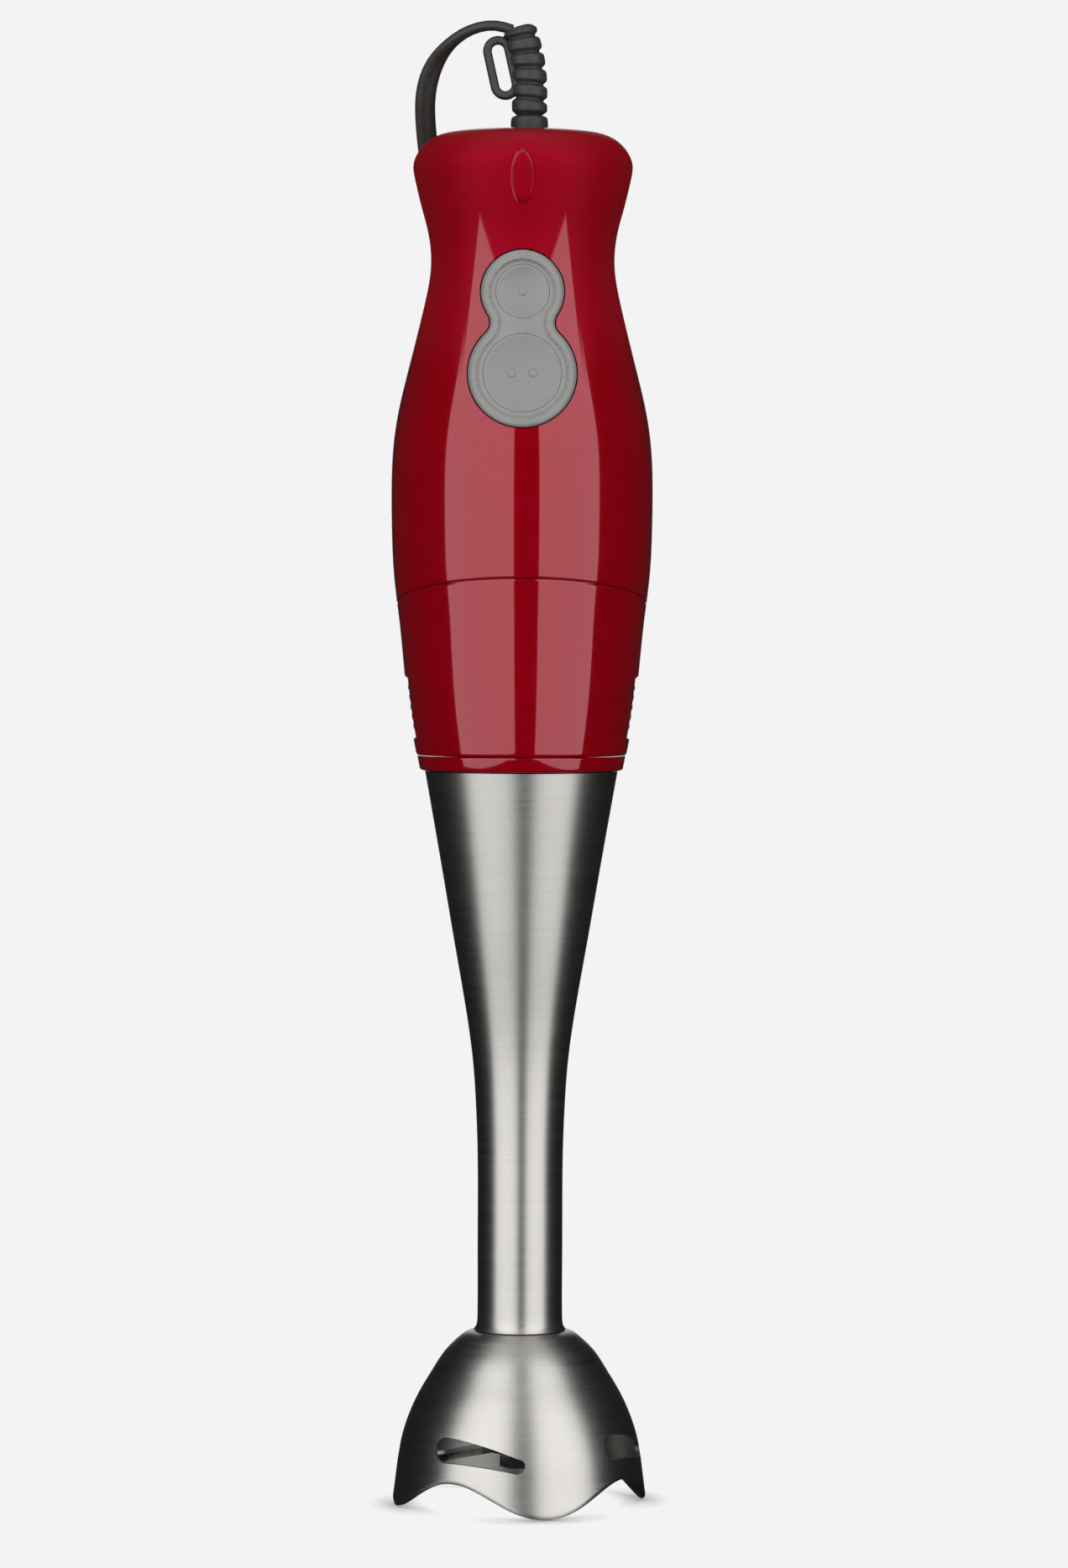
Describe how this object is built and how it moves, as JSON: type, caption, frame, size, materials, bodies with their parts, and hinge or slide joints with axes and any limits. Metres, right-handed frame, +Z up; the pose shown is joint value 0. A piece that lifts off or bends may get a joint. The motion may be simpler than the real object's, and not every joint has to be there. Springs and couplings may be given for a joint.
{
  "type": "immersion blender",
  "caption": "Hand-held immersion blender with a waisted gloss handle, a soft button panel, side release buttons and a detachable steel leg with a scalloped blade guard.",
  "frame": {"origin": "on the drive axis, in the plane of the blade guard's feet", "axes": "+Z up along the drive axis towards the cord, -Y towards the buttons, +X to the right as seen from the buttons"},
  "size_m": [0.0666, 0.2246, 0.3791],
  "materials": {
    "red_plastic": "high gloss moulded plastic",
    "grey_rubber": "soft satin rubber",
    "black_rubber": "matt flexible rubber",
    "dark_plastic": "matt moulded plastic",
    "brushed_steel": "stainless steel brushed round its axis",
    "polished_steel": "bright polished steel",
    "laminated_iron": "stacked laminations",
    "copper": "enamelled copper wire",
    "brass": "plain brass",
    "carbon": "dull carbon",
    "board": "circuit board laminate"
  },
  "bodies": {
    "handle": {"handle_front_shell": "red_plastic", "handle_rear_shell": "red_plastic", "motor_housing": "red_plastic", "shell_screw_upper": "polished_steel", "shell_screw_lower": "polished_steel", "button_panel": "grey_rubber", "switch_board": "board", "speed_one_switch": "dark_plastic", "speed_two_switch": "dark_plastic", "speed_diode": "dark_plastic", "suppression_capacitor": "brass", "cord_clamp": "dark_plastic", "coupling_socket": "dark_plastic", "lower_bracket": "dark_plastic", "upper_bracket": "dark_plastic", "lower_bearing": "polished_steel", "upper_bearing": "polished_steel", "motor_screw_left": "polished_steel", "motor_screw_right": "polished_steel", "stator_core": "laminated_iron", "field_coil_front": "copper", "field_coil_rear": "copper", "brush_holder_left": "brass", "carbon_brush_left": "carbon", "brush_holder_right": "brass", "carbon_brush_right": "carbon", "strain_relief": "black_rubber", "power_cord": "black_rubber", "cord_hank": "black_rubber", "cord_tie": "black_rubber", "plug_lead": "black_rubber", "plug_body": "black_rubber", "plug_blade_left": "brass", "plug_blade_right": "brass"},
    "speed_one_button": {"speed_one_button": "grey_rubber"},
    "speed_two_button": {"speed_two_button": "grey_rubber"},
    "release_button_left": {"release_button_left": "red_plastic"},
    "release_button_right": {"release_button_right": "red_plastic"},
    "rotor": {"motor_shaft": "polished_steel", "drive_coupler": "dark_plastic", "cooling_fan": "dark_plastic", "armature_core": "laminated_iron", "lower_winding": "copper", "upper_winding": "copper", "commutator": "copper"},
    "leg": {"leg_collar": "red_plastic", "upper_bushing": "brass", "leg_tube": "brushed_steel", "blade_guard": "brushed_steel", "lower_carrier": "dark_plastic", "lower_bushing": "brass", "shaft_seal": "black_rubber"},
    "blade_drive": {"drive_shaft": "polished_steel", "coupler_cup": "dark_plastic", "blade": "polished_steel", "blade_nut": "polished_steel"}
  },
  "joints": [
    {"name": "speed_one_press", "type": "slide", "parent": "handle", "child": "speed_one_button", "axis": [0, 1, 0], "range_m": [0, 0.0012], "stiffness_N_per_m": 600, "springref_m": -0.0008},
    {"name": "speed_two_press", "type": "slide", "parent": "handle", "child": "speed_two_button", "axis": [0, 1, 0], "range_m": [0, 0.0012], "stiffness_N_per_m": 600, "springref_m": -0.0008},
    {"name": "release_left_press", "type": "slide", "parent": "handle", "child": "release_button_left", "axis": [1, 0, 0], "range_m": [0, 0.0015], "stiffness_N_per_m": 800, "springref_m": -0.001},
    {"name": "release_right_press", "type": "slide", "parent": "handle", "child": "release_button_right", "axis": [-1, 0, 0], "range_m": [0, 0.0015], "stiffness_N_per_m": 800, "springref_m": -0.001},
    {"name": "rotor_spin", "type": "hinge", "parent": "handle", "child": "rotor", "pos_m": [0, 0, 0.25], "axis": [0, 0, 1], "continuous": true},
    {"name": "leg_pull", "type": "slide", "parent": "handle", "child": "leg", "axis": [0, 0, -1], "range_m": [0, 0.04]},
    {"name": "blade_spin", "type": "hinge", "parent": "leg", "child": "blade_drive", "pos_m": [0, 0, 0.1], "axis": [0, 0, 1], "continuous": true}
  ],
  "couplings": [
    {"joint": "blade_spin", "follows": "rotor_spin", "ratio": 1}
  ]
}
